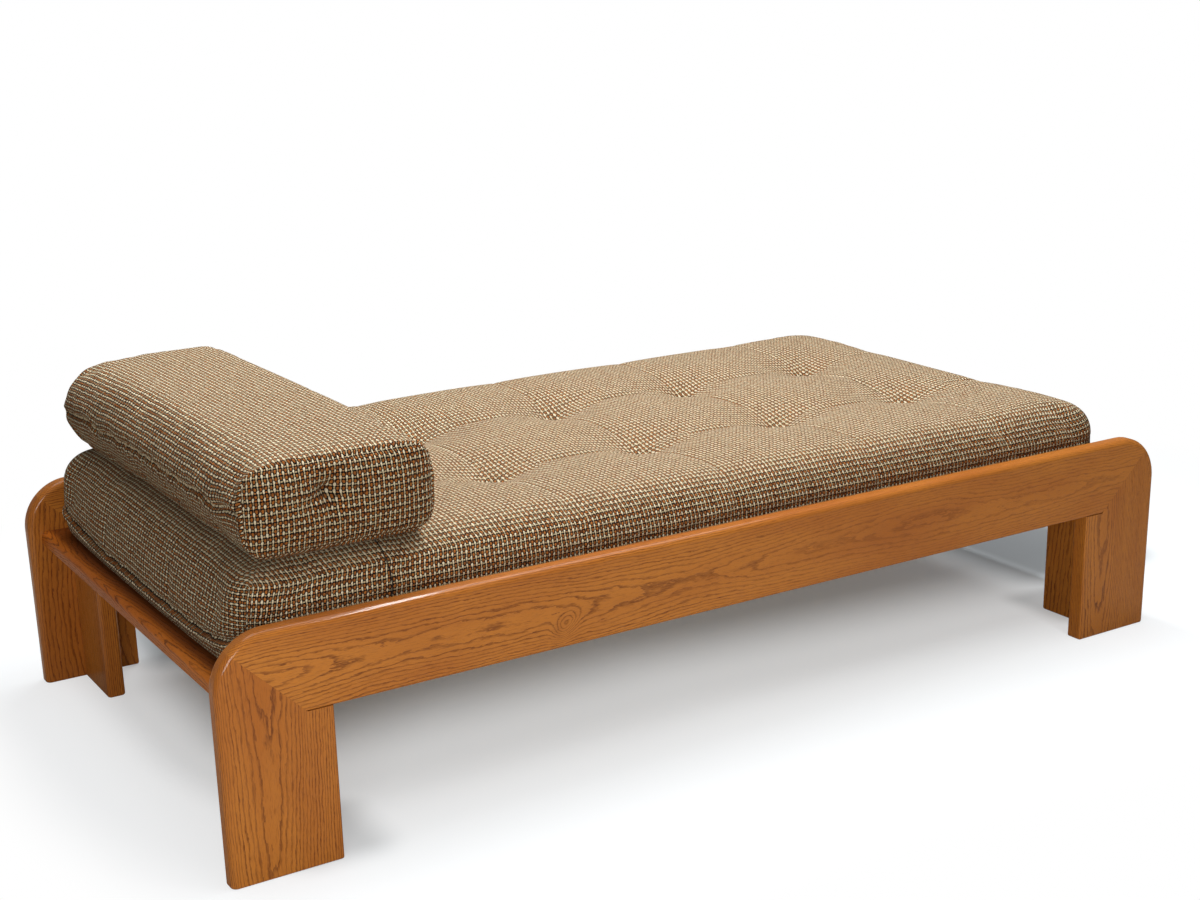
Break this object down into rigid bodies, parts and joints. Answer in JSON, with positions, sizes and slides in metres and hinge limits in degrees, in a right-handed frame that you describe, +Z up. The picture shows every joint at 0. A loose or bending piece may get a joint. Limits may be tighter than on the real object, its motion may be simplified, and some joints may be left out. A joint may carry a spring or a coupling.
{
  "type": "daybed",
  "caption": "Low oak plank daybed with mitred side frames on L-shaped legs, a slatted deck, a loose tufted tweed mattress and a loose bolster.",
  "frame": {"origin": "on the floor under the middle of the frame", "axes": "+X along the bed away from the bolster, +Y to the back side, +Z up"},
  "size_m": [2, 1.032, 0.6387],
  "materials": {
    "oak": "satin lacquered honey oak",
    "oak_board": "satin lacquered honey oak",
    "slat_wood": "plain sanded pine",
    "joinery_wood": "plain beech",
    "screw_steel": "zinc-plated steel",
    "tweed": "chunky basket-weave tweed of cream, rust and dark brown yarns",
    "filling": "upholstery foam",
    "tie_cord": "twisted cord",
    "zip": "dark brown zip tape"
  },
  "bodies": {
    "frame": {"front_rail": "oak", "back_rail": "oak", "front_left_leg": "oak", "front_right_leg": "oak", "back_left_leg": "oak", "back_right_leg": "oak", "front_left_inner_leg": "oak", "front_right_inner_leg": "oak", "back_left_inner_leg": "oak", "back_right_inner_leg": "oak", "left_end_board": "oak_board", "right_end_board": "oak_board", "front_ledger": "slat_wood", "back_ledger": "slat_wood", "slat_01": "slat_wood", "slat_02": "slat_wood", "slat_03": "slat_wood", "slat_04": "slat_wood", "slat_05": "slat_wood", "slat_06": "slat_wood", "slat_07": "slat_wood", "slat_08": "slat_wood", "slat_09": "slat_wood", "slat_10": "slat_wood", "slat_11": "slat_wood", "slat_12": "slat_wood", "mitre_tongues": "joinery_wood", "leg_dowels": "joinery_wood", "end_board_dowels": "joinery_wood", "slat_screws": "screw_steel", "end_board_screws": "screw_steel", "ledger_screws": "screw_steel"},
    "mattress": {"mattress_cover": "tweed", "mattress_core": "filling", "mattress_ties": "tie_cord", "mattress_zip": "zip"},
    "bolster": {"bolster_cover": "tweed", "bolster_core": "filling", "bolster_ties": "tie_cord", "bolster_zip": "zip"}
  },
  "joints": [
    {"name": "mattress_lift", "type": "slide", "parent": "frame", "child": "mattress", "axis": [0, 0, 1], "range_m": [0, 0.3]},
    {"name": "bolster_lift", "type": "slide", "parent": "mattress", "child": "bolster", "axis": [0, 0, 1], "range_m": [0, 0.3]}
  ]
}
